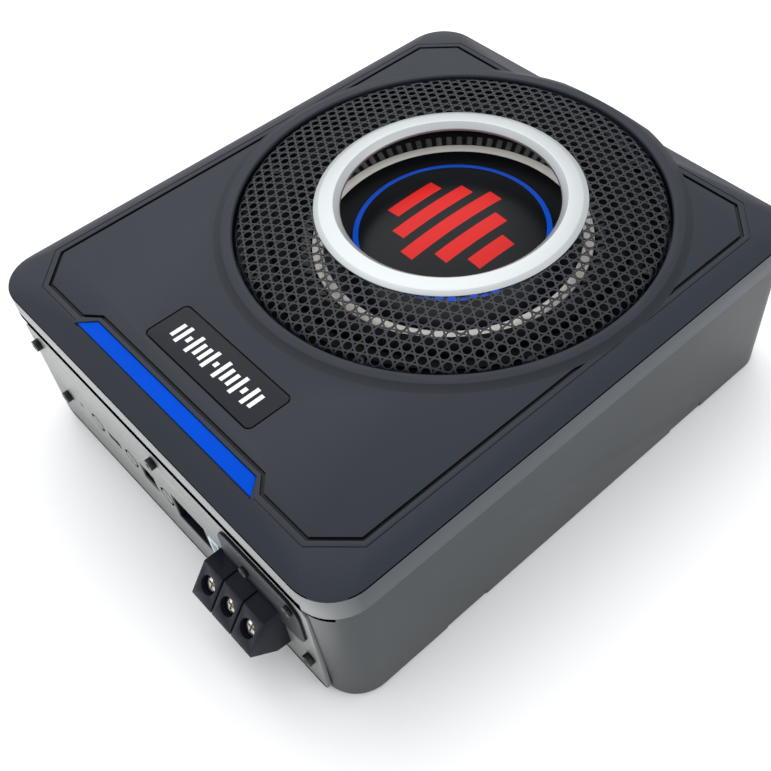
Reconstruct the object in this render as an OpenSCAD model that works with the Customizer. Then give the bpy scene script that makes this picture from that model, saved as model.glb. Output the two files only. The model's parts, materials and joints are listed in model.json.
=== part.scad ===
// Powered car subwoofer: a shallow under-seat enclosure with an eight-inch driver,
// a domed grille with an open metal ring, and a control panel on its short end.
// X is the width, Y the length with the control panel facing -Y, and Z points up.
// The origin is the centre of the base, on the ground.

/* [Enclosure] */
// Length of the cover
cover_l = 300; // [296:1:310]
// Width of the cover
cover_w = 258; // [256:1:270]
// Plan radius of the corners
corner_r = 21; // [16:1:24]
// Height of the cover's outer edge above the ground
edge_z = 92; // [92:0.5:94]
// Rise of the cover's border up to the flat panel
border_rise = 4.6; // [4:0.1:5]
// Height of the cover's outer skirt
skirt_h = 14.3; // [13:0.1:15]
// Amount by which the tub stands back from the skirt
tub_inset = 0.9; // [0.6:0.1:1.2]
// Draft of the tub's walls, from skirt to base
tub_draft = 1.9; // [1:0.1:2.4]
// Thickness of the tub's walls
wall_t = 3.2; // [3:0.1:3.4]

/* [Cover details] */
// Width of the groove around the flat panel
groove_w = 1.8; // [1.2:0.1:2.2]
// Depth of that groove
groove_d = 1.5; // [1:0.1:1.6]
// Half length of the accent strip along its outer edge
strip_half = 68.2; // [60:0.2:69]
// Width of the nameplate
plate_w = 78.8; // [60:0.2:80]
// Depth of the nameplate
plate_l = 23.1; // [20:0.1:24]

/* [Driver] */
// Distance of the driver's centre from the middle of the cover
driver_y = 35.5; // [34:0.5:36]
// Radius of the collar's opening around the grille
collar_r = 108.3; // [108:0.1:108.6]
// Height of the collar's flat lip above the ground
collar_z = 98.5; // [98:0.1:99]
// Inner radius of the grille ring
grille_ring_r = 54.4; // [53.4:0.5:55.4]
// Radius of the voice coil former
former_r = 25.5; // [25:0.1:25.6]
// Travel of the cone each way
cone_travel = 6; // [3:0.5:6]

/* [Controls] */
// Distance between neighbouring knobs
knob_pitch = 31; // [30:0.5:32]
// Height of the knobs and sockets above the ground
control_z = 35; // [34:0.5:36]
// Radius of a knob
knob_r = 4.2; // [3.6:0.1:4.4]
// Distance between neighbouring power terminals
terminal_pitch = 14.45; // [14:0.05:14.5]

/* [Hidden] */
$fn = 96;
eps = 0.01;
hull_fn = 48;
slab = 0.05;
glue = 0.12;

// Enclosure heights and outlines
base_z = 0;
floor_t = 3;
floor_z = base_z + floor_t;
skirt_z = edge_z - skirt_h;
skirt_t = 2.2;
panel_z = edge_z + border_rise;
cover_t = 3;
tongue_gap = 0.3;
tongue_t = 2;
tongue_z = edge_z - 5;
gasket_t = 2;
gasket_w = 1.6;
gasket_inset = 0.1;
edge_round = 0.8;
edge_bevel = 0.25;
base_round = 1.8;
tongue_low = 3;

// Outline of the flat panel, as seen from above
flat_x = 114.9;
flat_y = 134.3;
flat_chamfer = 16;
notch_y = 127.9;
notch_out = 69;
notch_in = 61.6;
rim_w = 3;
line_w = 0.5;
line_d = 0.4;

// Accent strip and nameplate
strip_y_out = -138.2;
strip_y_in = -130;
strip_slope = 7.4;
strip_t = 1;
strip_z = panel_z - 0.5;
strip_fit = 0.25;
strip_gap = 0.9;
strip_pad = 4;
plate_y = -106.7;
plate_r = 2.6;
plate_t = 1.2;
plate_gap = 0.8;

// Collar and the well that holds the driver
step_r = 117.8;
lip_r = 113.3;
lip_round = 0.7;
ledge_z = edge_z - 6;
ledge_t = 3;
ledge_r = 93;
well_t = 3;
collar_inset = 0.6;
well_inset = 4.8;
collar_drop = 0.25;
tall = 20;

// Cover screws, hidden in pillars that open at the base
pillar_r = 5.5;
pillar_bore = 4.2;
pillar_seat_z = 60;
cover_screw_r = 1.9;
cover_screw_head_r = 3.6;
cover_screw_head_h = 2.6;
cover_boss_z = 76;
cover_screw_fit = 0.3;
cover_screw_bite = 9;
cover_boss_gap = 0.5;
cover_key_r = 1.7;
cover_key_d = 1.5;
pillars = [[-111, -133], [111, -133], [-116.5, -20], [116.5, -20], [-111, 133], [111, 133]];

// Threaded inserts and the notches of the base
insert_r = 4;
insert_bore = 2.5;
insert_h = 9;
insert_boss_r = 7;
insert_boss_h = insert_h + 1;
insert_x = 108;
insert_y = 78.5;
inserts = [for (x = [-1, 1], y = [-1, 1]) [x * insert_x, y * insert_y]];
notch_l = 25;
notch_d = 0.8;
notch_h = 5;
notch_cut = 10;

// Grille
grille_t = 0.9;
grille_out = collar_r - 1;
grille_in = 63.8;
grille_top = 103.5;
grille_shoulder_r = 104;
grille_shoulder_z = 98.6;
grille_steps = 10;
grille_rim_r = 0.8;
grille_rim_z = [2, 4];
ring_out = 67.5;
ring_rim_h = 0.6;
ring_bevel_r = ring_out - 2.7;
ring_bevel_z = grille_top + 1.7;
ring_crest_r = grille_ring_r + 3.2;
ring_crest_z = grille_top + 2.5;
ring_lip = 0.2;
ring_low = 1.6;
ring_foot = [1.4, 2.6];

// Driver
flange_r = 104.5;
flange_t = 1.5;
driver_gasket_t = 1;
driver_gasket_gap = 0.4;
flange_z = ledge_z + driver_gasket_t;
flange_top = flange_z + flange_t;
screw_circle_r = 101.3;
driver_screw_n = 8;
driver_screw_r = 1.9;
driver_screw_head_r = 2.6;
driver_screw_head_h = 1.8;
driver_screw_fit = 0.2;
driver_screw_low = 3;
driver_key_r = 1.3;
driver_key_z = 0.8;
cone_slope = 0.537;
cone_out = 77.5;
cone_t = 1.2;
cone_ref_r = 66;
cone_ref_z = 73.95;
trim_in = 65.8;
trim_out = 71.5;
trim_in_z = 80.2;
trim_out_z = 77.6;
cap_r = 65.6;
cap_apex = 87.6;
cap_bend = 543;
cap_t = 0.8;
cap_steps = 12;
surround_in = 74.5;
surround_out = 91.5;
surround_lip = 98.2;
surround_t = 1;
surround_rise = 4.6;
surround_thin = 0.3;
surround_flat = 0.8;
surround_step = 15;
surround_seat_r = 92.4;
former_t = 0.5;
former_low = 20;
former_top = 2;
coil_t = 1.1;
coil_low = 23;
coil_lap = 3;
coil_h = coil_lap + 2 * cone_travel;
spider_z = 46;
spider_out = 61;
spider_t = 0.6;
spider_n = 28;
spider_lift = 1.6;
spider_wave = 1.3;
spider_gap = 0.15;
lead_angles = [-98, -82];
lead_z = 50.2;
lead_r = 0.6;
lead_l = 39;
lead_gap = 0.2;
tab_r = 69.2;
tab_z = 47.4;
tab_l = 12;
tab_w = 6;
tab_t = 1;
pole_r = 24.2;
gap_r = 27.2;
yoke_z = floor_z + 1;
yoke_t = 7;
yoke_r = 57;
magnet_in = 32;
magnet_out = 61;
magnet_h = 15;
top_plate_h = 7;
vent_r = 8;
magnet_z = yoke_z + yoke_t;
top_plate_z = magnet_z + magnet_h;
basket_z = top_plate_z + top_plate_h;
basket_t = 1.6;
basket_neck_r = 57;
basket_hole_r = 30;
basket_step = 2;
basket_window_z = 54;
basket_window_h = 24;
window_n = 6;
window_w = 44;
basket_in = [[92.2, flange_top], [89.4, 85], [66, 48.5], [64.4, spider_z], [59, spider_z]];
basket_out = [[basket_neck_r, spider_z - basket_t], [65.5, spider_z - basket_t], [67.6, 48.5],
              [91, 85], [92.6, flange_z]];

// Control panel, flat and upright in the end wall
panel_front = -149.4;
panel_t = 2;
panel_back = panel_front + panel_t;
panel_half = 112;
panel_low = 2.2;
panel_high = 73.5;
panel_r = 5;
panel_gap = 0.3;
frame_t = 4.4;
frame_lap = 0.6;
frame_low = 3;
frame_gap = 1;
shadow_d = 4.6;
shadow_low = 2;
bridge_half = 104;
bridge_low = 5;
bridge_high = 4;
window_low = 21;
window_high = 58;
window_left = -92;
window_right = 92;
window_d = 12;
panel_screw_spots = [[-103.3, 63.1], [-94.7, 30.1], [0, 65], [104.5, 25]];
panel_screw_r = 1.9;
cap_head_r = 3;
cap_head_h = 3;
hex_key_r = 1.5;
hex_key_d = 1.4;
screw_fit = 0.1;
knob_x = [-64, -64 + knob_pitch, -64 + 2 * knob_pitch];
knob_hole_r = knob_r + 0.5;
knob_face = panel_front - 0.1;
knob_slot_w = 0.8;
knob_slot_d = 1;
knob_slot_end = 1.4;
knob_back = panel_back + 3;
pot_front = knob_back + 0.6;
board_front = pot_front + 5;
board_t = 1.6;
board_w = 132;
board_h = 34;
board_inset = 4;
shaft_r = 3;
shaft_l = 3.6;
shaft_fit = 0.05;
pot_size = 12;
switch_x = -48.5;
switch_w = 9.2;
switch_h = 4;
switch_d = 7;
switch_body_w = 14;
switch_body_h = 8;
switch_window_w = 11;
switch_window_h = 5;
switch_travel = 4;
slider_w = 4.6;
slider_l = 7.4;
slider_front = 0.3;
slider_gap = 0.3;
socket_fit = 0.2;
socket_sink = 0.2;
socket_gap = 0.4;
remote_x = -17.5;
remote_s = 12;
remote_hole_w = 9.6;
remote_hole_h = 6.8;
remote_hole_d = 9;
remote_key_w = 4;
remote_key_h = 1.6;
pocket_x = 18;
pocket_w = 27;
pocket_h = 19;
pocket_wall = 1.2;
pocket_d = 8.4;
jack_r = 4.15;
jack_pitch = 13.5;
jack_front = 3.2;
jack_l = pocket_d - jack_front;
jack_bore = 1.6;
jack_d = 4.8;
level_x = 38.6;
level_w = 8;
level_h = 18;
level_z = control_z - 1;
level_wall = 1.1;
level_d = 7;
level_proud = 0.6;
led_x = -80;
led_r = 1.5;

// Power terminals: the profile is drawn in Y and Z, ahead of the panel
block_left = 44.9;
block_w = 3 * terminal_pitch;
block_top = 44.8;
block_low = 16.6;
block_nose = [[-158.3, block_top], [-168.2, 31.2], [-169, 29.9], [-168.9, 28.8],
              [-156.8, 17.6], [-151.2, block_low]];
groove_block_w = 1.2;
groove_block_d = 1;
spigot_w = block_w - 12;
spigot_h = 18;
spigot_l = 10;
spigot_z = 32;
screw_y = -163.35;
screw_z = 37.85;
screw_tilt = 36;
head_r = 3.6;
head_h = 2.2;
head_sink = 2.5;
head_slot_l = 4.8;
head_slot_w = 0.9;
head_slot_d = 1.2;
counterbore_r = 4.6;
counterbore_top = 3;
shank_r = 2.4;
shank_fit = 0.05;
shank_end = 7.4;
bar_w = 9.6;
bar_near = 5;
bar_far = 13.4;
bar_low = -6;
bar_high = 5;
wire_s = 9.8;
wire_r = 2.6;
entry_r = 3.2;
entry_l = 18;
flange_front = panel_front - 1.4;
flange_spots = [[68.4, 55.4], [101, 65]];
flange_middle = [79, 55];
flange_w = 56;
flange_l = 32;
flange_corner = 9;
flange_screw_r = 1.5;
flange_hole_r = 1.6;
flange_head_r = 2.6;
flange_head_h = 1.8;
flange_key_r = 1.2;

// Electronics
pcb_z = 14;
pcb_t = 1.6;
pcb_w = 180;
pcb_y = -132;
pcb_l = 60;
pcb_top = pcb_z + pcb_t;
pcb_posts = [[-84, -127], [84, -127], [-84, -77], [84, -77]];
post_r = 4;
post_bore = 1.45;
post_floor = 2;
board_screw_r = 1.4;
board_screw_fit = 0.2;
board_screw_l = 8.6;
board_head_r = 2.8;
board_head_h = 2;
sink_w = 110;
sink_t = 12;
sink_h = 34;
sink_y = -84;
sink_web = 4;
fin_n = 11;
transistor_n = 4;
transistor_w = 10;
transistor_t = 4.6;
transistor_h = 18;
transistor_pitch = 30;
coil_y = -110;
toroid_x = -55;
toroid_r = 17;
toroid_hole_r = 7;
toroid_h = 16;
capacitor_n = 4;
capacitor_x = -22;
capacitor_pitch = 19;
capacitor_r = 8;
capacitor_h = 26;

function cone_z(r) = cone_ref_z + (r - cone_ref_r) * cone_slope;
function cap_z(r) = cap_apex - r * r / cap_bend;
function mesh_z(r) = grille_top - (grille_top - grille_shoulder_z)
    * pow((r - grille_in) / (grille_shoulder_r - grille_in), 1.7);
function terminal_x(i) = block_left + terminal_pitch * (i + 0.5);

// Plan outlines

module rounded_rect(w, l, r) {
    square([w - 2 * r, l], center = true);
    square([w, l - 2 * r], center = true);
    for (x = [-1, 1], y = [-1, 1])
        translate([x * (w / 2 - r), y * (l / 2 - r)]) circle(r);
}

module plan_slab(z, inset) {
    translate([0, 0, z])
        linear_extrude(slab)
            rounded_rect(cover_w - 2 * inset, cover_l - 2 * inset, corner_r - inset, $fn = hull_fn);
}

module flat_octagon(grow) {
    x = flat_x + grow;
    y = flat_y + grow;
    c = flat_chamfer + grow * (2 - sqrt(2));
    polygon([[x, -y + c], [x, y - c], [x - c, y], [-x + c, y], [-x, y - c], [-x, -y + c],
             [-x + c, -y], [x - c, -y]]);
}

module flat_outline() {
    difference() {
        flat_octagon(0);
        polygon([[-notch_out, -flat_y - 1], [notch_out, -flat_y - 1], [notch_out, -flat_y],
                 [notch_in, -notch_y], [-notch_in, -notch_y], [-notch_out, -flat_y]]);
    }
}

module driver_place() {
    translate([0, driver_y, 0]) children();
}

module ring(r_out, r_in, h) {
    difference() {
        cylinder(r = r_out, h = h);
        translate([0, 0, -1]) cylinder(r = r_in, h = h + 2);
    }
}

// A flat shape drawn in X and Z, from y = front back to y = front + depth
module upright(front, depth) {
    translate([0, front + depth, 0]) rotate([90, 0, 0]) linear_extrude(depth) children();
}

// A round bar along Y, from y = front back to y = front + depth
module rod_y(x, z, r, front, depth) {
    translate([x, front + depth, z]) rotate([90, 0, 0]) cylinder(r = r, h = depth);
}

// Enclosure

module tub_solid(grow, low, high) {
    hull() {
        plan_slab(low, tub_inset + tub_draft + base_round - grow);
        plan_slab(low + base_round, tub_inset + tub_draft - grow);
        plan_slab(high - slab, tub_inset - grow);
    }
}

module tongue() {
    inset = skirt_t + tongue_gap;
    translate([0, 0, skirt_z - tongue_low])
        linear_extrude(tongue_z - skirt_z + tongue_low)
            difference() {
                rounded_rect(cover_w - 2 * inset, cover_l - 2 * inset, corner_r - inset);
                rounded_rect(cover_w - 2 * (inset + tongue_t), cover_l - 2 * (inset + tongue_t),
                             corner_r - inset - tongue_t);
            }
}

// Children at each spot of a list of X and Y, at the height z
module at_each(spots, z) {
    for (p = spots)
        translate([p[0], p[1], z]) children();
}

module pillar_bores() {
    at_each(pillars, base_z - 1) cylinder(r = pillar_bore, h = pillar_seat_z - base_z + 1);
    at_each(pillars, 0) cylinder(r = cover_screw_r + cover_screw_fit, h = cover_boss_z + 1);
}

// Plate behind the control panel, and the bridge that carries the tongue over the shadow gap
module panel_frame() {
    intersection() {
        tub_solid(0, base_z, skirt_z);
        upright(panel_back - frame_lap, frame_t + frame_lap)
            translate([-panel_half, frame_low])
                square([2 * panel_half, skirt_z - frame_gap - frame_low]);
    }
    upright(panel_back + frame_lap, frame_t - frame_lap)
        translate([-bridge_half, skirt_z - bridge_low])
            square([2 * bridge_half, bridge_low + bridge_high]);
}

module shadow_gap() {
    upright(panel_front - shadow_d, 2 * shadow_d)
        translate([-panel_half, panel_high - shadow_low])
            square([2 * panel_half, skirt_z - panel_high + shadow_low]);
}

module panel_outline(grow) {
    translate([0, (panel_low + panel_high) / 2])
        rounded_rect(2 * (panel_half + grow), panel_high - panel_low + 2 * grow, panel_r + grow);
}

module side_notches() {
    x = cover_w / 2 - tub_inset - tub_draft - notch_d + notch_cut / 2;
    for (side = [-1, 1], y = [-insert_y, insert_y])
        translate([side * x, y, base_z + notch_h / 2 - eps])
            cube([notch_cut, notch_l, notch_h], center = true);
}

module tub() {
    color([0.20, 0.21, 0.23])
    difference() {
        union() {
            difference() {
                tub_solid(0, base_z, skirt_z);
                tub_solid(-wall_t, floor_z, skirt_z + 1);
            }
            tongue();
            at_each(pillars, base_z + 1) cylinder(r = pillar_r, h = cover_boss_z - base_z - 1);
            at_each(inserts, base_z + 1) cylinder(r = insert_boss_r, h = insert_boss_h);
            at_each(pcb_posts, base_z + 1) cylinder(r = post_r, h = pcb_z - base_z - 1);
            panel_frame();
        }
        pillar_bores();
        side_notches();
        at_each(inserts, base_z - 1) cylinder(r = insert_r, h = insert_h + 1);
        at_each(pcb_posts, floor_z + post_floor) cylinder(r = post_bore, h = pcb_z);
        upright(panel_front - panel_t, 2 * panel_t) panel_outline(panel_gap);
        shadow_gap();
        upright(panel_front, window_d)
            translate([window_left, window_low])
                square([window_right - window_left, window_high - window_low]);
        for (s = panel_screw_spots)
            rod_y(s[0], s[1], panel_screw_r, panel_back - 1, frame_t + 1);
    }
}

module cover_solid() {
    hull() {
        plan_slab(skirt_z, 0);
        plan_slab(edge_z - edge_round, 0);
        plan_slab(edge_z - edge_bevel, edge_bevel);
        plan_slab(edge_z - slab, edge_round);
        translate([0, 0, panel_z - slab]) linear_extrude(slab) flat_octagon(rim_w);
    }
}

module cover_hollow() {
    hull() {
        plan_slab(skirt_z - 1, skirt_t);
        plan_slab(edge_z - cover_t, skirt_t);
        translate([0, 0, panel_z - cover_t]) linear_extrude(slab) flat_octagon(-2);
    }
}

module collar_profile() {
    polygon([[ledge_r, ledge_z - ledge_t], [collar_r + well_t, ledge_z - ledge_t],
             [collar_r + well_t, edge_z - cover_t], [step_r, edge_z - cover_t],
             [step_r, panel_z], [lip_r + lip_round, collar_z - collar_drop], [lip_r, collar_z],
             [collar_r + lip_round, collar_z], [collar_r, collar_z - lip_round],
             [collar_r, ledge_z], [ledge_r, ledge_z]]);
}

module footprint(inset) {
    rounded_rect(cover_w - 2 * inset, cover_l - 2 * inset, corner_r - inset);
}

module panel_groove() {
    translate([0, 0, panel_z - groove_d])
        linear_extrude(groove_d + 1)
            difference() {
                flat_outline();
                offset(delta = -groove_w) flat_outline();
                translate([0, driver_y]) circle(step_r + 0.2);
            }
}

module rim_line() {
    translate([0, 0, panel_z - line_d])
        linear_extrude(line_d + 1)
            difference() {
                flat_octagon(rim_w);
                flat_octagon(rim_w - line_w);
                translate([0, driver_y]) circle(step_r + 0.2);
                translate([-notch_out, -flat_y - rim_w - 1]) square([2 * notch_out, rim_w + 2]);
            }
}

module strip_outline(grow, low) {
    x = strip_half + grow + min(0, low) * strip_slope / (strip_y_in - strip_y_out);
    polygon([[-x, strip_y_out - low], [x, strip_y_out - low],
             [strip_half - strip_slope + grow, strip_y_in + grow],
             [-strip_half + strip_slope - grow, strip_y_in + grow]]);
}

// Bosses for the cover's screws, and the thicker bed of the accent strip
module cover_bosses() {
    at_each(pillars, cover_boss_z) cylinder(r = pillar_r, h = edge_z - cover_boss_z - cover_boss_gap);
    translate([-strip_half - strip_pad, strip_y_out - strip_pad, edge_z - 1])
        cube([2 * (strip_half + strip_pad), strip_y_in - strip_y_out + 2 * strip_pad, border_rise]);
}

// The driver's well, open from the ledge up, and the bore of the ledge
module well() {
    driver_place() {
        translate([0, 0, ledge_z]) cylinder(r = collar_r, h = collar_z - lip_round - ledge_z);
        translate([0, 0, ledge_z - ledge_t - 1]) cylinder(r = ledge_r, h = tall);
    }
}

module plate_pocket() {
    translate([0, plate_y, panel_z - plate_t])
        linear_extrude(plate_t + 1)
            rounded_rect(plate_w + 2 * plate_gap, plate_l + 2 * plate_gap, plate_r + plate_gap);
}

module top_cover() {
    color([0.16, 0.17, 0.19])
    difference() {
        union() {
            difference() {
                cover_solid();
                cover_hollow();
            }
            intersection() {
                cover_solid();
                cover_bosses();
            }
            intersection() {
                driver_place() rotate_extrude() collar_profile();
                union() {
                    translate([0, 0, edge_z - cover_t])
                        linear_extrude(tall) footprint(collar_inset);
                    translate([0, 0, ledge_z - ledge_t - 1])
                        linear_extrude(tall) footprint(well_inset);
                }
            }
        }
        well();
        panel_groove();
        rim_line();
        plate_pocket();
        translate([0, 0, strip_z - strip_t]) linear_extrude(tall) strip_outline(strip_fit, strip_fit);
        at_each(pillars, cover_boss_z - 1) cylinder(r = cover_screw_r, h = cover_screw_bite + 3);
        driver_screw_ring()
            translate([0, 0, ledge_z - ledge_t - 1]) cylinder(r = driver_screw_r, h = ledge_t + 2);
    }
}

module cover_gasket() {
    inset = skirt_t + tongue_gap + gasket_inset;
    color([0.05, 0.05, 0.05])
    translate([0, 0, tongue_z])
        linear_extrude(gasket_t)
            difference() {
                footprint(inset);
                footprint(inset + gasket_w);
            }
}

module cover_screws() {
    color([0.1, 0.1, 0.1])
    at_each(pillars, pillar_seat_z) {
        translate([0, 0, -cover_screw_head_h])
            difference() {
                cylinder(r = cover_screw_head_r, h = cover_screw_head_h);
                translate([0, 0, -eps]) cylinder(r = cover_key_r, h = cover_key_d, $fn = 6);
            }
        cylinder(r = cover_screw_r, h = cover_boss_z + cover_screw_bite - pillar_seat_z);
    }
}

module accent_strip() {
    color([0.0, 0.36, 0.9])
    translate([0, 0, strip_z - strip_t]) linear_extrude(strip_t) strip_outline(0, -strip_gap);
}

module nameplate() {
    color([0.17, 0.18, 0.2])
    translate([0, plate_y, panel_z - plate_t])
        linear_extrude(plate_t) rounded_rect(plate_w, plate_l, plate_r);
}

module mounting_inserts() {
    color([0.72, 0.58, 0.3])
    at_each(inserts, base_z)
        difference() {
            cylinder(r = insert_r, h = insert_h);
            translate([0, 0, -1]) cylinder(r = insert_bore, h = insert_h + 2);
        }
}

// Grille

module grille() {
    dome = [for (i = [0:grille_steps])
        let (r = grille_in + (grille_shoulder_r - grille_in) * i / grille_steps) [r, mesh_z(r)]];
    under = [for (i = [grille_steps:-1:0]) [dome[i][0], dome[i][1] - grille_t]];
    color([0.09, 0.09, 0.1])
    driver_place()
        rotate_extrude()
            polygon(concat(dome,
                [[grille_out - grille_rim_r, grille_shoulder_z - grille_rim_z[0]],
                 [grille_out, grille_shoulder_z - grille_rim_z[1]],
                 [grille_out, ledge_z],
                 [grille_out - grille_t, ledge_z],
                 [grille_out - grille_t, grille_shoulder_z - grille_rim_z[1]]],
                under));
}

module grille_ring() {
    color([0.85, 0.86, 0.87])
    driver_place()
        rotate_extrude()
            polygon([[ring_out, grille_top], [ring_out, grille_top + ring_rim_h],
                     [ring_bevel_r, ring_bevel_z], [ring_crest_r, ring_crest_z],
                     [grille_ring_r + ring_lip, grille_top - ring_lip],
                     [grille_ring_r, grille_top - ring_low],
                     [grille_ring_r + ring_foot[0], grille_top - ring_low],
                     [grille_ring_r + ring_foot[1], grille_top]]);
}

// Driver

module driver_screw_ring() {
    driver_place()
        for (i = [0:driver_screw_n - 1])
            rotate([0, 0, (i + 0.5) * 360 / driver_screw_n])
                translate([screw_circle_r, 0, 0]) children();
}

module driver_basket() {
    color([0.08, 0.08, 0.08])
    difference() {
        driver_place()
            difference() {
                rotate_extrude()
                    polygon(concat(
                        [[flange_r, flange_z], [flange_r, flange_top]],
                        basket_in,
                        [[basket_neck_r - basket_t, spider_z - basket_step],
                         [basket_neck_r - basket_t, basket_z + basket_t],
                         [basket_hole_r, basket_z + basket_t],
                         [basket_hole_r, basket_z],
                         [basket_neck_r, basket_z]],
                        basket_out));
                for (i = [0:window_n - 1])
                    rotate([0, 0, i * 360 / window_n])
                        translate([basket_neck_r, -window_w / 2, basket_window_z])
                            cube([basket_neck_r, window_w, basket_window_h]);
            }
        driver_screw_ring()
            translate([0, 0, flange_z - 1])
                cylinder(r = driver_screw_r + driver_screw_fit, h = flange_t + 2);
    }
}

module driver_gasket() {
    color([0.04, 0.04, 0.04])
    difference() {
        driver_place()
            translate([0, 0, ledge_z]) ring(flange_r, ledge_r + driver_gasket_gap, driver_gasket_t);
        driver_screw_ring()
            translate([0, 0, ledge_z - 1])
                cylinder(r = driver_screw_r + driver_screw_fit, h = driver_gasket_t + 2);
    }
}

module driver_screws() {
    color([0.12, 0.12, 0.12])
    driver_screw_ring() {
        translate([0, 0, ledge_z - ledge_t - driver_screw_low])
            cylinder(r = driver_screw_r, h = flange_top - ledge_z + ledge_t + driver_screw_low);
        translate([0, 0, flange_top])
            difference() {
                cylinder(r = driver_screw_head_r, h = driver_screw_head_h);
                translate([0, 0, driver_key_z])
                    cylinder(r = driver_key_r, h = driver_screw_head_h, $fn = 6);
            }
    }
}

module surround() {
    mid = (cone_out + surround_out) / 2;
    half = (surround_out - cone_out) / 2;
    low = cone_z(cone_out) + glue;
    function roll(a, t) = [mid - (half - t) * cos(a),
        low + (flange_top - low) * a / 180
            + (surround_rise + half - t) * sin(a) * surround_flat + surround_t];
    outer = [for (a = [0:surround_step:180]) roll(a, 0)];
    inner = [for (a = [180:-surround_step:0]) roll(a, surround_t) - [0, surround_thin]];
    color([0.05, 0.05, 0.05])
    driver_place()
        rotate_extrude()
            polygon(concat(
                [[surround_in, cone_z(surround_in) + glue],
                 [surround_in, cone_z(surround_in) + surround_t]],
                outer,
                [[surround_lip, flange_top + surround_t],
                 [surround_lip, flange_top],
                 [surround_seat_r, flange_top]],
                [for (p = inner) if (p[0] < surround_out - surround_t / 2)
                    [p[0], max(p[1], low + surround_thin)]],
                [[cone_out, low]]));
}

module spider() {
    near = former_r + spider_gap;
    top = [for (i = [0:spider_n]) let (r = near + (spider_out - near) * i / spider_n)
        [r, spider_z + spider_t + (i < spider_n - 2
            ? spider_lift + spider_wave * sin(90 * i) : 0)]];
    low = [for (i = [spider_n:-1:0]) [top[i][0], top[i][1] - spider_t]];
    color([0.72, 0.55, 0.28])
    driver_place() rotate_extrude() polygon(concat(top, low));
}

module cone() {
    color([0.07, 0.07, 0.07])
    driver_place()
        rotate_extrude()
            polygon([[former_r, cone_z(former_r) - cone_t], [cone_out, cone_z(cone_out) - cone_t],
                     [cone_out, cone_z(cone_out)], [former_r, cone_z(former_r)]]);
}

module dust_cap() {
    top = [for (i = [0:cap_steps]) let (r = cap_r * i / cap_steps) [r, cap_z(r)]];
    low = [for (i = [cap_steps - 1:-1:0]) [top[i][0], top[i][1] - cap_t]];
    color([0.03, 0.03, 0.04])
    driver_place()
        rotate_extrude()
            polygon(concat(
                top,
                [[cap_r, cone_z(cap_r) + glue],
                 [cap_r - 1, cone_z(cap_r - 1) + glue],
                 [cap_r - 1, cap_z(cap_r - 1) - cap_t]],
                low));
}

module trim_ring() {
    color([0.6, 0.6, 0.6])
    driver_place()
        rotate_extrude()
            polygon([[trim_in, cone_z(trim_in) + glue], [trim_out, cone_z(trim_out) + glue],
                     [trim_out, trim_out_z], [trim_in, trim_in_z]]);
}

module coil_former() {
    color([0.75, 0.62, 0.4])
    driver_place()
        translate([0, 0, former_low])
            ring(former_r, former_r - former_t, cone_z(former_r) - former_low + former_top);
}

module voice_coil() {
    color([0.72, 0.4, 0.2])
    driver_place() translate([0, 0, coil_low]) ring(former_r + coil_t, former_r, coil_h);
}

module tinsel_leads() {
    color([0.75, 0.6, 0.45])
    driver_place()
        for (a = lead_angles)
            rotate([0, 0, a])
                translate([former_r + lead_gap, 0, lead_z])
                    rotate([0, 90, 0]) cylinder(r = lead_r, h = lead_l);
}

module driver_terminals() {
    color([0.55, 0.55, 0.5])
    driver_place()
        for (a = lead_angles)
            rotate([0, 0, a])
                translate([tab_r, -tab_w / 2, tab_z]) cube([tab_l, tab_w, tab_t]);
}

module top_plate() {
    color([0.35, 0.36, 0.38])
    driver_place() translate([0, 0, top_plate_z]) ring(yoke_r, gap_r, top_plate_h);
}

module magnet() {
    color([0.16, 0.15, 0.15])
    driver_place() translate([0, 0, magnet_z]) ring(magnet_out, magnet_in, magnet_h);
}

module yoke() {
    color([0.35, 0.36, 0.38])
    driver_place()
        difference() {
            union() {
                translate([0, 0, yoke_z]) cylinder(r = yoke_r, h = yoke_t);
                translate([0, 0, yoke_z + 1]) cylinder(r = pole_r, h = basket_z - yoke_z - 1);
            }
            translate([0, 0, yoke_z - 1]) cylinder(r = vent_r, h = basket_z);
        }
}

// Controls

module cap_screw(x, z, seat, length) {
    difference() {
        rod_y(x, z, cap_head_r, seat - cap_head_h, cap_head_h);
        translate([x, seat - cap_head_h + hex_key_d, z])
            rotate([90, 0, 0]) cylinder(r = hex_key_r, h = cap_head_h, $fn = 6);
    }
    rod_y(x, z, panel_screw_r, seat, length);
}

// Cutters through the control panel
module panel_bore(x, z, r) {
    rod_y(x, z, r, panel_front - 1, panel_t + 2);
}

module panel_window(x, z, w, h) {
    translate([x, panel_front, z]) cube([w, 3 * panel_t, h], center = true);
}

module control_panel() {
    color([0.62, 0.63, 0.63])
    difference() {
        upright(panel_front, panel_t) panel_outline(0);
        for (s = panel_screw_spots)
            panel_bore(s[0], s[1], panel_screw_r + screw_fit);
        for (s = flange_spots)
            panel_bore(s[0], s[1], flange_hole_r);
        for (x = knob_x)
            panel_bore(x, control_z, knob_hole_r);
        panel_bore(led_x, control_z, led_r + screw_fit);
        panel_window(switch_x, control_z, switch_window_w, switch_window_h);
        panel_window(remote_x, control_z, remote_s + 2 * socket_fit, remote_s + 2 * socket_fit);
        panel_window(pocket_x, control_z, pocket_w + 2 * socket_fit, pocket_h + 2 * socket_fit);
        panel_window(level_x, level_z, level_w + 2 * socket_fit, level_h + 2 * socket_fit);
        panel_window(block_left + block_w / 2, spigot_z, spigot_w + 2 * socket_fit,
                     spigot_h + 2 * socket_fit);
    }
}

module panel_screws() {
    color([0.06, 0.06, 0.06])
    for (s = panel_screw_spots)
        cap_screw(s[0], s[1], panel_front, panel_t + frame_t);
}

module control_board() {
    color([0.05, 0.25, 0.12])
    translate([window_left + board_inset, board_front, window_low + 1])
        cube([board_w, board_t, board_h]);
}

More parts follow.
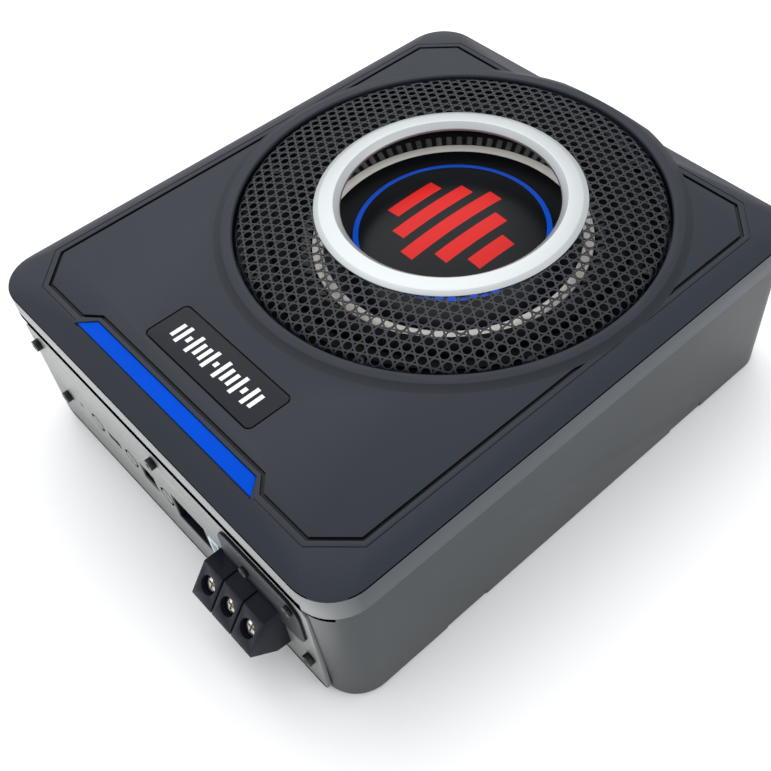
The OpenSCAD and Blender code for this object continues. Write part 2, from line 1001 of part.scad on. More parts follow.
module potentiometers() {
    color([0.3, 0.3, 0.32])
    for (x = knob_x)
        difference() {
            translate([x - pot_size / 2, pot_front, control_z - pot_size / 2])
                cube([pot_size, board_front - pot_front, pot_size]);
            rod_y(x, control_z, shaft_r + shaft_fit, pot_front - 1, shaft_l + 1);
        }
}

module knob(x) {
    color([0.5, 0.51, 0.52]) {
        difference() {
            rod_y(x, control_z, knob_r, knob_face, knob_back - knob_face);
            translate([x - knob_slot_w / 2, knob_face - 1, control_z - knob_r + knob_slot_end])
                cube([knob_slot_w, knob_slot_d + 1, 2 * (knob_r - knob_slot_end)]);
        }
        rod_y(x, control_z, shaft_r, knob_back - eps, shaft_l);
    }
}

module gain_knob() { knob(knob_x[0]); }

module lowpass_knob() { knob(knob_x[1]); }

module bass_knob() { knob(knob_x[2]); }

module phase_switch_body() {
    color([0.12, 0.12, 0.13])
    difference() {
        translate([switch_x - switch_body_w / 2, panel_back + socket_gap, control_z - switch_body_h / 2])
            cube([switch_body_w, board_front - panel_back - socket_gap, switch_body_h]);
        translate([switch_x - switch_w / 2, panel_back - 1, control_z - switch_h / 2])
            cube([switch_w, switch_d, switch_h]);
    }
}

module phase_switch_slider() {
    left = switch_x - switch_travel / 2 - slider_w / 2;
    color([0.12, 0.14, 0.15])
    translate([left, panel_front + slider_front, control_z - switch_h / 2 + slider_gap])
        cube([slider_w, slider_l, switch_h - 2 * slider_gap]);
}

module remote_socket() {
    color([0.06, 0.06, 0.07])
    difference() {
        translate([remote_x - remote_s / 2, panel_front + socket_sink, control_z - remote_s / 2])
            cube([remote_s, board_front - panel_front - socket_sink, remote_s]);
        translate([remote_x - remote_hole_w / 2, panel_front - 1, control_z - remote_hole_h / 2])
            cube([remote_hole_w, remote_hole_d, remote_hole_h]);
        translate([remote_x - remote_key_w / 2, panel_front - 1, control_z])
            cube([remote_key_w, remote_hole_d, remote_hole_h / 2 + remote_key_h]);
    }
}

module input_socket_housing() {
    color([0.05, 0.05, 0.05])
    difference() {
        translate([pocket_x - pocket_w / 2, panel_front + socket_sink, control_z - pocket_h / 2])
            cube([pocket_w, board_front - panel_front - socket_sink, pocket_h]);
        translate([pocket_x, panel_front, control_z])
            cube([pocket_w - 2 * pocket_wall, 2 * pocket_d, pocket_h - 2 * pocket_wall],
                 center = true);
    }
}

module input_sockets() {
    color([0.8, 0.78, 0.7])
    for (s = [-0.5, 0.5])
        difference() {
            rod_y(pocket_x + s * jack_pitch, control_z, jack_r, panel_front + jack_front, jack_l);
            rod_y(pocket_x + s * jack_pitch, control_z, jack_bore, panel_front, jack_front + jack_d);
        }
}

module speaker_level_socket() {
    color([0.85, 0.87, 0.88])
    difference() {
        translate([level_x - level_w / 2, panel_front - level_proud, level_z - level_h / 2])
            cube([level_w, board_front - panel_front + level_proud, level_h]);
        translate([level_x, panel_front, level_z])
            cube([level_w - 2 * level_wall, 2 * level_d, level_h - 2 * level_wall], center = true);
    }
}

module power_led() {
    color([0.1, 0.3, 0.9])
    rod_y(led_x, control_z, led_r, panel_front + socket_sink,
          board_front - panel_front - socket_sink);
}

// Power terminals

module block_profile() {
    polygon(concat([[panel_front, block_top]], block_nose, [[panel_front, block_low]]));
}

// A profile drawn in Y and Z, from x = left over the width w
module across(left, w) {
    translate([left, 0, 0]) rotate([90, 0, 90]) linear_extrude(w) children();
}

// Turns a piece drawn along +Z, into the block, onto terminal i's screw axis
module screw_axis(i) {
    translate([terminal_x(i), screw_y, screw_z]) rotate([-90 - screw_tilt, 0, 0]) children();
}

module bar_body(i) {
    screw_axis(i)
        translate([-bar_w / 2, -bar_high, bar_near]) cube([bar_w, bar_high - bar_low, bar_far - bar_near]);
}

module terminal_block() {
    color([0.06, 0.06, 0.07])
    difference() {
        union() {
            across(block_left, block_w) block_profile();
            upright(flange_front, panel_front - flange_front)
                translate(flange_middle) rounded_rect(flange_w, flange_l, flange_corner);
            translate([block_left + (block_w - spigot_w) / 2, panel_front - 1, spigot_z - spigot_h / 2])
                cube([spigot_w, spigot_l + 1, spigot_h]);
        }
        for (i = [1, 2])
            across(block_left + i * terminal_pitch - groove_block_w / 2, groove_block_w)
                difference() {
                    block_profile();
                    offset(delta = -groove_block_d) block_profile();
                    translate([flange_front, 0]) square([spigot_l, block_top + 1]);
                }
        for (i = [0:2]) {
            screw_axis(i) {
                translate([0, 0, -counterbore_top])
                    cylinder(r = counterbore_r, h = counterbore_top + head_sink + head_h + screw_fit);
                cylinder(r = shank_r + shank_fit, h = bar_near + 1);
                translate([0, entry_l, wire_s])
                    rotate([90, 0, 0]) cylinder(r = entry_r, h = entry_l);
            }
            bar_body(i);
        }
        for (s = flange_spots)
            rod_y(s[0], s[1], flange_hole_r, flange_front - 1, panel_front - flange_front + 2);
    }
}

module terminal_bars() {
    color([0.78, 0.62, 0.3])
    for (i = [0:2])
        difference() {
            bar_body(i);
            screw_axis(i) {
                cylinder(r = shank_r + shank_fit, h = wire_s);
                translate([0, entry_l, wire_s]) rotate([90, 0, 0]) cylinder(r = wire_r, h = 2 * entry_l);
            }
        }
}

module terminal_screw(i) {
    color([0.8, 0.78, 0.7])
    screw_axis(i)
        difference() {
            union() {
                translate([0, 0, head_sink]) cylinder(r = head_r, h = head_h);
                translate([0, 0, head_sink + 1]) cylinder(r = shank_r, h = shank_end - head_sink - 1);
            }
            for (turn = [0, 90])
                rotate([0, 0, turn])
                    translate([0, 0, head_sink])
                        cube([head_slot_l, head_slot_w, 2 * head_slot_d], center = true);
        }
}

module positive_screw() { terminal_screw(0); }

module remote_screw() { terminal_screw(1); }

module ground_screw() { terminal_screw(2); }

module terminal_flange_screws() {
    color([0.1, 0.1, 0.1])
    for (s = flange_spots) {
        difference() {
            rod_y(s[0], s[1], flange_head_r, flange_front - flange_head_h, flange_head_h);
            translate([s[0], flange_front - flange_head_h / 2, s[1]])
                rotate([90, 0, 0]) cylinder(r = flange_key_r, h = flange_head_h, $fn = 6);
        }
        rod_y(s[0], s[1], flange_screw_r, flange_front - eps, panel_back - flange_front);
    }
}

// Electronics

module amplifier_board() {
    color([0.05, 0.3, 0.14])
    difference() {
        translate([-pcb_w / 2, pcb_y, pcb_z]) cube([pcb_w, pcb_l, pcb_t]);
        at_each(pcb_posts, pcb_z - 1) cylinder(r = board_screw_r + board_screw_fit, h = pcb_t + 2);
    }
}

module board_screws() {
    color([0.75, 0.75, 0.72])
    at_each(pcb_posts, pcb_top) cylinder(r = board_head_r, h = board_head_h);
    at_each(pcb_posts, pcb_top - board_screw_l) cylinder(r = board_screw_r, h = board_screw_l + eps);
}

module heatsink() {
    pitch = sink_w / fin_n;
    color([0.65, 0.66, 0.68])
    translate([-sink_w / 2, sink_y, pcb_top])
        difference() {
            cube([sink_w, sink_t, sink_h]);
            for (i = [0:fin_n - 1])
                translate([pitch * (i + 0.25), sink_web, -1]) cube([pitch / 2, sink_t, sink_h + 2]);
        }
}

module transistors() {
    color([0.08, 0.08, 0.09])
    for (i = [0:transistor_n - 1])
        translate([transistor_pitch * (i - (transistor_n - 1) / 2) - transistor_w / 2,
                   sink_y - transistor_t, pcb_top])
            cube([transistor_w, transistor_t, transistor_h]);
}

module transformer() {
    color([0.7, 0.42, 0.2])
    translate([toroid_x, coil_y, pcb_top]) ring(toroid_r, toroid_hole_r, toroid_h);
}

module capacitors() {
    color([0.1, 0.12, 0.2])
    for (i = [0:capacitor_n - 1])
        translate([capacitor_x + i * capacitor_pitch, coil_y, pcb_top])
            cylinder(r = capacitor_r, h = capacitor_h);
}

tub();
top_cover();
cover_gasket();
cover_screws();
accent_strip();
nameplate();
grille();
grille_ring();
mounting_inserts();
driver_basket();
driver_gasket();
driver_screws();
surround();
spider();
cone();
dust_cap();
trim_ring();
coil_former();
voice_coil();
tinsel_leads();
driver_terminals();
top_plate();
magnet();
yoke();
control_panel();
panel_screws();
control_board();
potentiometers();
gain_knob();
lowpass_knob();
bass_knob();
phase_switch_body();
phase_switch_slider();
remote_socket();
input_socket_housing();
input_sockets();
speaker_level_socket();
power_led();
terminal_block();
terminal_bars();
positive_screw();
remote_screw();
ground_screw();
terminal_flange_screws();
amplifier_board();
board_screws();
heatsink();
transistors();
transformer();
capacitors();
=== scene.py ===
# %% [markdown]
# # A powered car subwoofer
# The shapes that carry load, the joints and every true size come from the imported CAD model.
# Here those solids get their surfaces: grained plastic, a perforated grille, turned aluminium
# and printed colour. X is the width, Y the length and Z points up. Blender works in metres, so
# shapes that are given in millimetres are multiplied by MM.

# %% Load the frame
import json
import math

import bmesh
import bpy
from mathutils import Matrix, Vector

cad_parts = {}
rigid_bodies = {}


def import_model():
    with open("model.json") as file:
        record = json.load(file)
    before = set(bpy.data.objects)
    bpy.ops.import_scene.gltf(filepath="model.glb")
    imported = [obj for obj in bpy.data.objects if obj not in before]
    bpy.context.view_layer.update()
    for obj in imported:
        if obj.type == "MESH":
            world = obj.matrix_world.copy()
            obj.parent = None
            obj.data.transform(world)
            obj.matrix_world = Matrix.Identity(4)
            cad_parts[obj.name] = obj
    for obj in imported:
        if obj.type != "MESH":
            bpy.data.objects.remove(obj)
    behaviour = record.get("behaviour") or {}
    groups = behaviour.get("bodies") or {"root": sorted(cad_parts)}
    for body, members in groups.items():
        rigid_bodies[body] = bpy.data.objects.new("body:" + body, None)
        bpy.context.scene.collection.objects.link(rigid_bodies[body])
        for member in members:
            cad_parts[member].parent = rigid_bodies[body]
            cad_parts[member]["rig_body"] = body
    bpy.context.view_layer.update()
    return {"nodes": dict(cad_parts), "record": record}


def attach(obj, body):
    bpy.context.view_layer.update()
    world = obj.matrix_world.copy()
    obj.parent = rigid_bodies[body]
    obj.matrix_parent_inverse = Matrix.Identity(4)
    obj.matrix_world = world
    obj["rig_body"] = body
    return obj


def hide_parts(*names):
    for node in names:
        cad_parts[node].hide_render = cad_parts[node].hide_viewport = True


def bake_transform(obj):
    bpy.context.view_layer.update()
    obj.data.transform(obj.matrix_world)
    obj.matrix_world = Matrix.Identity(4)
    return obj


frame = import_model()
nodes = frame["nodes"]
slot_of = {part["node"]: part["material_slot"] for part in frame["record"]["subparts"]}
MM = 0.001
DRIVER = (0, 0.0355, 0)

# %% [markdown]
# ## Camera
# A camera is placed by a matrix whose columns are its own axes. Azimuth and elevation say where
# it stands, and a small roll tips the picture, as a camera held in the hand does.

# %% Camera
CAMERA_PLACE = Vector((304.9, -228.4, 450.1)) * MM
AZIMUTH, ELEVATION, ROLL = 50.118, 50.618, 4.24


def camera_matrix(place, azimuth, elevation, roll):
    a, e, t = (math.radians(v) for v in (azimuth, elevation, roll))
    back = Vector((math.sin(a) * math.cos(e), -math.cos(a) * math.cos(e), math.sin(e)))
    right = (-back).cross(Vector((0, 0, 1))).normalized()
    down = (-back).cross(right)
    across = math.cos(t) * right + math.sin(t) * down
    below = -math.sin(t) * right + math.cos(t) * down
    turn = Matrix((across, -below, back)).transposed().to_4x4()
    return Matrix.Translation(place) @ turn


scene = bpy.context.scene
lens = bpy.data.cameras.new("camera")
lens.sensor_width = 36
lens.lens = 49.95
lens.shift_x = -0.0837
lens.clip_start, lens.clip_end = 0.01, 20
camera = bpy.data.objects.new("camera", lens)
camera.matrix_world = camera_matrix(CAMERA_PLACE, AZIMUTH, ELEVATION, ROLL)
scene.collection.objects.link(camera)
scene.camera = camera
print("camera stands", round(camera.location.length, 3), "m from the origin")

# %% [markdown]
# ## Floor and light
# A white table and a white tent around it give the soft, even light of a product picture. One
# large lamp above, on the left, makes the gentle gloss, and a weaker one at the side lifts the
# walls. A third lies flat in front of the control panel, as a bounce card does, and shines up on
# it. The camera doesn't see it. The floor is staged and isn't a part of the object.

# %% Floor and light
AIM = (0, 0, 0.05)
CARD = (-0.1, -0.36, 0.002)
TENT_COLOUR, TENT_LIGHT = (0.97, 0.98, 1, 1), 1.06
FLOOR_HALF, FLOOR_DROP = 6, 0.0002
scene.view_settings.view_transform = "Standard"


def lamp(name, place, aim, size, power):
    data = bpy.data.lights.new(name, "AREA")
    data.shape = "RECTANGLE"
    data.size, data.size_y = size
    data.energy = power
    item = bpy.data.objects.new(name, data)
    item.location = place
    item.rotation_mode = "QUATERNION"
    item.rotation_quaternion = (Vector(aim) - Vector(place)).to_track_quat("-Z", "Y")
    scene.collection.objects.link(item)
    return item


lamp("lamp_above", (-0.75, 0.35, 1.5), AIM, (1.6, 1.6), 14)
lamp("lamp_side", (1.5, 0.5, 0.7), AIM, (1.2, 0.8), 5)
card = lamp("bounce_card", CARD, (CARD[0], CARD[1], 1), (0.5, 0.38), 0.8)
card.visible_camera = False
world = bpy.data.worlds.new("tent")
world.use_nodes = True
tent = world.node_tree.nodes["Background"].inputs
tent["Color"].default_value = TENT_COLOUR
tent["Strength"].default_value = TENT_LIGHT
scene.world = world
bm = bmesh.new()
bmesh.ops.create_grid(bm, x_segments=1, y_segments=1, size=FLOOR_HALF)
floor_mesh = bpy.data.meshes.new("floor")
bm.to_mesh(floor_mesh)
bm.free()
floor = bpy.data.objects.new("floor", floor_mesh)
floor.location.z = -FLOOR_DROP
scene.collection.objects.link(floor)

# %% [markdown]
# ## Writing shader maths as sums
# A material is a small network of nodes. To keep it readable, a Signal wraps the output of a node,
# and sums, products and comparisons on it add the Math nodes. A comparison gives 1 or 0, so it is
# a mask, and the product of two masks is where both hold. A Finish holds one material and adds
# any other node with its settings and inputs.

# %% Signals and finishes
finishes = {}


class Signal:
    """A number that flows from one node to the next."""

    def __init__(self, finish, socket):
        self.finish, self.socket = finish, socket

    def maths(self, operation, second=0.0):
        return self.finish.maths(operation, self, second)

    def __add__(self, other):
        return self.maths("ADD", other)

    def __sub__(self, other):
        return self.maths("SUBTRACT", other)

    def __rsub__(self, other):
        return self.finish.maths("SUBTRACT", other, self)

    def __mul__(self, other):
        return self.maths("MULTIPLY", other)

    def __truediv__(self, other):
        return self.maths("DIVIDE", other)

    def __lt__(self, other):
        return self.maths("LESS_THAN", other)

    def __gt__(self, other):
        return self.maths("GREATER_THAN", other)

    def __abs__(self):
        return self.maths("ABSOLUTE")

    __radd__ = __add__
    __rmul__ = __mul__

    def largest(self, other):
        return self.maths("MAXIMUM", other)

    def between(self, low, high):
        return (self > low) * (self < high)

    def whole(self):
        return self.maths("FLOOR")

    def root(self):
        return self.maths("SQRT")

    def wave(self):
        return self.maths("SINE")


class Finish:
    """One material, built from a Principled shader and kept under its name in finishes."""

    def __init__(self, name, **constants):
        self.material = bpy.data.materials.new(name)
        self.material.use_nodes = True
        self.tree = self.material.node_tree
        self.tree.nodes.clear()
        self.shader = self.tree.nodes.new("ShaderNodeBsdfPrincipled")
        self.output = self.tree.nodes.new("ShaderNodeOutputMaterial")
        self.tree.links.new(self.shader.outputs[0], self.output.inputs[0])
        for socket, value in constants.items():
            self.set(socket.replace("_", " "), value)
        self.place = self.add("TexCoord", {}, {}, "Object")
        finishes[name] = self

    def set(self, socket, value):
        if isinstance(value, Signal):
            self.tree.links.new(value.socket, self.shader.inputs[socket])
        else:
            self.shader.inputs[socket].default_value = value

    def add(self, kind, settings, inputs, out=0):
        node = self.tree.nodes.new("ShaderNode" + kind)
        for key, value in settings.items():
            setattr(node, key, value)
        for key, value in inputs.items():
            if isinstance(value, Signal):
                self.tree.links.new(value.socket, node.inputs[key])
            else:
                node.inputs[key].default_value = value
        return Signal(self, node.outputs[out])

    def maths(self, operation, first, second=0.0):
        return self.add("Math", {"operation": operation}, {0: first, 1: second})

    def mix(self, mask, low, high):
        return self.add("Mix", {"data_type": "RGBA"}, {0: mask, 6: low, 7: high}, 2)

    def axes(self, centre=(0, 0, 0)):
        """Where a point is, in metres from the centre along X, Y and Z."""
        moved = self.add("Mapping", {}, {"Vector": self.place, "Location": [-c for c in centre]})
        split = self.add("SeparateXYZ", {}, {"Vector": moved})
        return [Signal(self, s) for s in split.socket.node.outputs]

    def radius(self, centre):
        """How far a point is from the upright line through the centre."""
        x, y, _ = self.axes(centre)
        return (x * x + y * y).root()

    def noise(self, scale, detail=2.0):
        return self.add("TexNoise", {}, {"Vector": self.place, "Scale": scale, "Detail": detail})

    def bump(self, height, strength, distance):
        inputs = {"Height": height, "Strength": strength, "Distance": distance}
        self.set("Normal", self.add("Bump", {}, inputs))

    def ink(self, mask, colour):
        """Covers the colour so far where the mask is 1."""
        so_far = Signal(self, self.shader.inputs["Base Color"].links[0].from_socket)
        self.set("Base Color", self.mix(mask, so_far, colour))

    def gap(self, mask):
        """Where the mask is 1, a dull black takes the place of the finish, as painted shade in a
        deep gap.
        """
        inputs = {"Base Color": PAINTED_GAP_SHADE, "Roughness": 1.0, "Specular IOR Level": 0.0}
        shade_shader = self.add("BsdfPrincipled", {}, inputs)
        finish = Signal(self, self.shader.outputs[0])
        both = self.add("MixShader", {}, {0: mask, 1: finish, 2: shade_shader})
        self.tree.links.new(both.socket, self.output.inputs[0])


def rgb(red, green, blue):
    """A screen colour from 0 to 255 as the linear colour that a shader wants."""
    return [((c / 255) ** 2.2) for c in (red, green, blue)] + [1.0]


def scaled(colour, factor):
    return [c * factor for c in colour[:3]] + [1.0]


# Painted shade: the dark colours for the depth of grooves and gaps.
PAINTED_GAP_SHADE, PAINTED_GROOVE_SHADE = rgb(5, 6, 7), rgb(3, 4, 5)
print("finish kit ready")

# %% [markdown]
# ## Grained plastic
# The housing is moulded in a tool with an etched texture, which breaks its gloss into a fine
# grain. Two noises do this: a fine one lifts the surface, and a slow one shifts the roughness a
# little, as handling does. Paper, rubber and foam are made the same way with other numbers.

# %% Grained plastic

HANDLED, GRAIN_DEPTH, GRAIN_PALER = 14.0, 0.00012, 1.25


def grained(name, colour, rough, grain, lift, gloss):
    f = Finish(name, Specular_IOR_Level=gloss)
    fine = f.noise(grain, 3.0)
    slow = f.noise(HANDLED, 2.0)
    f.set("Base Color", f.mix(slow * 0.5 + fine * 0.3, colour, scaled(colour, GRAIN_PALER)))
    f.set("Roughness", slow * 0.12 + fine * 0.08 + (rough - 0.1))
    f.bump(fine, lift, GRAIN_DEPTH)


# Name: screen colour, roughness, grains per metre, lift of the grain, gloss.
PLASTICS = {
    "cover_plastic": (rgb(37, 41, 48), 0.48, 1500, 0.35, 0.2),
    "body_plastic": (rgb(47, 51, 53), 0.46, 1500, 0.35, 0.4),
    "badge_plastic": (rgb(26, 29, 35), 0.5, 1500, 0.35, 0.18),
    "black_plastic": (rgb(17, 22, 31), 0.5, 2500, 0.2, 0.14),
    # Painted sheen: the knobs and the control panel are a mid grey, paler than dark plastic, for
    # the bright sheen of their front faces.
    "knob_plastic": (rgb(90, 92, 91), 0.42, 2500, 0.2, 0.5),
    "panel_paint": (rgb(92, 94, 93), 0.42, 3000, 0.15, 0.5),
    "foam": (rgb(18, 18, 18), 0.9, 1800, 0.8, 0.5),
    "cone_paper": (rgb(5, 5, 6), 0.7, 900, 0.6, 0.12),
    "former_film": (rgb(150, 105, 45), 0.35, 700, 0.1, 0.5),
    "surround_rubber": (rgb(5, 5, 6), 0.6, 400, 0.05, 0.12),
    "circuit_board": (rgb(16, 70, 36), 0.35, 500, 0.1, 0.5),
    "white_plastic": (rgb(196, 205, 212), 0.4, 2500, 0.1, 0.5),
    "capacitor_sleeve": (rgb(22, 26, 44), 0.3, 600, 0.05, 0.5),
    "ferrite": (rgb(48, 46, 46), 0.7, 1200, 0.4, 0.5),
}
for name, look in PLASTICS.items():
    grained(name, *look)
print(len(finishes), "plastics")

# %% [markdown]
# ## Painted shade and sheen on the housing
# The grooves and gaps of the housing are cut in its shape. Masks from X, Y and Z paint shade into
# their depth, where little light goes, and paint a sheen on the cover's skirt, paler toward the
# control panel. A thin line at the lid's edge and rings around the knobs are painted shade too.
# At a flat angle even black plastic mirrors the white floor, so painted shade in a gap is a
# second, dull shader in place of a darker colour.

# %% Painted shade and sheen on the housing
LID, GROOVE_HALF = 0.0962, 0.0001
FIELD_X, FIELD_Y, FIELD_CUT = 0.1149, 0.1343, 0.2332
COLLAR_IN, COLLAR_OUT, COLLAR_LOW = 0.1139, 0.1181, 0.0966
EDGE_X, EDGE_EXTRA_Y = 0.1272, 0.021
SKIRT_TOP, SEAM_TOP, SKIRT_SHADE = 0.0911, 0.0918, 0.0812
SKIRT_FRONT, SKIRT_HALF, SHEEN_FROM, SHEEN_RISE = -0.1455, 0.111, -0.132, 60
RECESS_LOW, RECESS_FRONT = 0.0736, -0.1425
PANEL_TOP, PANEL_LOW, PANEL_FOOT = 0.0731, 0.0024, 0.0046
KNOB_Z, KNOB_X = 0.035, (-0.064, -0.033, -0.002)
KNOB_GAP, KNOB_GAP_HALF = 0.00505, 0.0004

cover = finishes["cover_plastic"]
x, y, z = cover.axes()
wide, far = abs(x), abs(y)
outline = (wide - FIELD_X).largest(far - FIELD_Y)
outline = outline.largest((wide + far - FIELD_CUT) * math.sqrt(0.5))
# Painted shade in the groove around the lid's field, inside the collar and along a thin line at
# the lid's edge.
groove_shade = (outline < GROOVE_HALF) * (z < LID)
collar_shade = cover.radius(DRIVER).between(COLLAR_IN, COLLAR_OUT) * (z > COLLAR_LOW)
seam_shade = (wide.largest(far - EDGE_EXTRA_Y) > EDGE_X) * z.between(SKIRT_TOP, SEAM_TOP)
# Painted sheen: the skirt is paler than the lid, and paler still toward the control panel.
sheen_to_front = (SHEEN_FROM - y) * SHEEN_RISE
cover.ink(z < SKIRT_TOP, cover.mix(sheen_to_front, rgb(78, 82, 86), rgb(126, 129, 128)))
cover.ink(groove_shade * 0.9 + collar_shade * 0.35 + seam_shade * 0.9, PAINTED_GROOVE_SHADE)
# Painted shade: a dull black on the lowest part of the skirt in front, and on the line at the
# lid's edge.
cover.gap(((z < SKIRT_SHADE) * (y < SKIRT_FRONT) * (wide < SKIRT_HALF)).largest(seam_shade))

body = finishes["body_plastic"]
x, y, z = body.axes()
# Painted shade: a dull black in the recess above the control panel.
body.gap((z > RECESS_LOW) * (y < RECESS_FRONT))

panel = finishes["panel_paint"]
x, y, z = panel.axes()
# Painted shade: a dull black along the panel's top and foot, and in thin rings around the knobs.
dark = (z > PANEL_TOP).largest(z.between(PANEL_LOW, PANEL_FOOT))
for knob_x in KNOB_X:
    across, up = x - knob_x, z - KNOB_Z
    away = (across * across + up * up).root()
    dark = dark.largest(abs(away - KNOB_GAP) < KNOB_GAP_HALF)
panel.gap(dark)
print("dark lines on", cover.material.name, body.material.name, panel.material.name)

# %% [markdown]
# ## Pleats
# A wave of the angle around the axis repeats evenly around it, so it draws the radial pleats
# between the cone and its surround: their height as a bump, and a painted highlight in pale grey
# on their crests. A noise makes some of the highlights fainter.

# %% Pleats
PLEATS, PLEAT_IN, PLEAT_OUT = 84, 0.0722, 0.0768

for name in ("cone_paper", "surround_rubber"):
    ribbed = finishes[name]
    x, y, _ = ribbed.axes(DRIVER)
    ribs = (y.maths("ARCTAN2", x) * PLEATS).wave()
    band = ribbed.radius(DRIVER).between(PLEAT_IN, PLEAT_OUT)
    # Painted highlight: pale grey on the crests of the pleats.
    ribbed.ink((ribs > -0.1) * band * ribbed.noise(60.0) * 1.6, rgb(88, 90, 89))
    ribbed.bump(ribs * band, 0.6, 0.0006)
print(PLEATS, "pleats")

# %% [markdown]
# ## Metals and powder coat
# A metal shows its colour only in what it reflects, so its roughness tells how it was made: turned
# aluminium has fine circular lines, plated steel is smooth with faint blotches, and black
# powder coat is a rough skin over the steel.

# %% Metals and powder coat
LINES_PER_METRE = 9000


def metal(name, colour, rough, blotch=60.0, turned=False, metallic=1.0):
    f = Finish(name, Metallic=metallic)
    slow = f.noise(blotch, 3.0)
    f.set("Base Color", f.mix(slow, scaled(colour, 0.86), colour))
    texture = slow * 0.08
    if turned:
        lines = (f.radius(DRIVER) * LINES_PER_METRE).wave()
        texture = texture + lines * 0.03
        f.bump(lines, 0.08, 0.00002)
    else:
        f.bump(slow, 0.05, 0.0002)
    f.set("Roughness", texture + rough)


def coated(name, colour, rough, gloss):
    f = Finish(name, Specular_IOR_Level=gloss)
    fine = f.noise(1800.0, 2.0)
    f.set("Base Color", f.mix(fine, colour, scaled(colour, 1.5)))
    f.set("Roughness", fine * 0.15 + rough)
    f.bump(fine, 0.2, 0.0001)


metal("ring_aluminium", rgb(184, 188, 189), 0.45, 30.0, turned=True)
metal("trim_aluminium", rgb(206, 203, 195), 0.4, 30.0, turned=True, metallic=0.25)
metal("nickel", rgb(190, 187, 178), 0.24)
metal("plated_steel", rgb(176, 178, 182), 0.3)
metal("sink_aluminium", rgb(190, 192, 195), 0.38)
metal("brass", rgb(205, 170, 96), 0.25)
metal("copper", rgb(196, 118, 76), 0.3)
coated("grille_steel", rgb(24, 28, 34), 0.4, 0.35)
coated("basket_steel", rgb(4, 4, 5), 0.8, 0.1)
coated("black_steel", rgb(20, 20, 22), 0.32, 0.35)
print(len(finishes), "plastics and metals")

# %% [markdown]
# ## Printed and coloured parts
# The cap carries a printed ring and a row of level bars, and the nameplate a small wave of bars.
# Print is colour without height, so each shape is a mask made from the distance to its middle,
# and the mask picks the ink.

# %% Printed and coloured parts
BLUE, RED, WHITE = rgb(0, 78, 196), rgb(196, 28, 24), rgb(226, 228, 230)
PRINTED_RING, RING_HALF = 0.049, 0.0014
BAR_HALF_WIDTH = 0.0042
BARS = {-0.028: 0.015, -0.014: 0.024, 0.0: 0.031, 0.014: 0.021, 0.028: 0.012}
BADGE = (0, -0.1067, 0)
BADGE_STEP, BADGE_HALF = 0.0042, 0.0315
STRIPE_SWING, STRIPE_LEAST, STRIPE_SHARE = 0.0042, 0.0014, 0.27

cap = Finish("cap_plastic", Roughness=0.3, Specular_IOR_Level=0.12)
dust = cap.noise(40.0, 3.0)
cap.set("Base Color", cap.mix(dust, rgb(4, 7, 13), rgb(9, 13, 20)))
cap.ink(abs(cap.radius(DRIVER) - PRINTED_RING) < RING_HALF, BLUE)
x, y, _ = cap.axes(DRIVER)
for middle, half in BARS.items():
    cap.ink((abs(x - middle) < BAR_HALF_WIDTH) * (abs(y) < half), RED)
cap.bump(dust, 0.05, 0.0003)

badge = finishes["badge_plastic"]
x, y, z = badge.axes(BADGE)
cell = x / BADGE_STEP + 0.5
index = cell.whole()
tall = abs((index * 1.9).wave()) * STRIPE_SWING + STRIPE_LEAST
stripe = (abs(cell - index - 0.5) < STRIPE_SHARE) * (abs(y) < tall)
badge.ink(stripe * (abs(x) < BADGE_HALF) * (z > LID), WHITE)

accent = Finish("accent_blue", Roughness=0.5, Specular_IOR_Level=0.02)
accent.set("Base Color", accent.mix(accent.noise(25.0, 3.0), rgb(0, 67, 180), rgb(0, 74, 194)))
accent.bump(accent.noise(1600.0), 0.12, 0.0001)

glow = Finish("lens_blue", Roughness=0.15, Coat_Weight=0.5)
glow.set("Base Color", glow.mix(glow.noise(900.0), rgb(30, 70, 190), rgb(70, 120, 235)))

cloth = Finish("spider_cloth", Roughness=0.85)
THREADS = 4500
x, y, _ = cloth.axes()
weave = (x * THREADS).wave() * (y * THREADS).wave()
cloth.set("Base Color", cloth.mix(weave * 0.5 + 0.5, rgb(150, 112, 55), rgb(196, 156, 92)))
cloth.bump(weave, 0.4, 0.0002)

paper = Finish("floor_paper", Roughness=0.9)
PAPER_LOW, PAPER_HIGH = (0.92, 0.92, 0.92, 1), (0.95, 0.95, 0.95, 1)
paper.set("Base Color", paper.mix(paper.noise(6.0), PAPER_LOW, PAPER_HIGH))
floor_mesh.materials.append(paper.material)
print(len(finishes), "finishes")

# %% [markdown]
# ## Finishes on the CAD solids
# Each solid from CAD takes the finish of its slot. Its mesh isn't touched.

# %% Finishes on the CAD solids
for name, solid in nodes.items():
    solid.data.materials.clear()
    solid.data.materials.append(finishes[slot_of[name]].material)
print("painted", len(nodes))

# %% [markdown]
# ## Making a piece
# A new piece starts as a bmesh, and ends as an object that rides on a body, stands for CAD solids
# and takes a slot's finish. Small faces are smooth and large ones flat, so the light doesn't run
# over a flat wall, and edges sharper than a set angle stay crisp.

# %% Making a piece
FLAT_CORNERS, FLAT_AREA = 6, 0.00015
JOIN = 1e-7


def piece(name, bm, stands_for, body="enclosure", crisp=35):
    """Makes the object. A body of None leaves it free, for a piece that bends between two."""
    mesh = bpy.data.meshes.new(name)
    bm.to_mesh(mesh)
    bm.free()
    for face in mesh.polygons:
        face.use_smooth = len(face.vertices) < FLAT_CORNERS and face.area < FLAT_AREA
    mesh.set_sharp_from_angle(angle=math.radians(crisp))
    item = bpy.data.objects.new(name, mesh)
    scene.collection.objects.link(item)
    slot = slot_of[stands_for[0]]
    mesh.materials.append(finishes[slot].material)
    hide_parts(*stands_for)
    if body:
        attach(item, body)
    print(name, len(mesh.polygons), "faces")
    return item


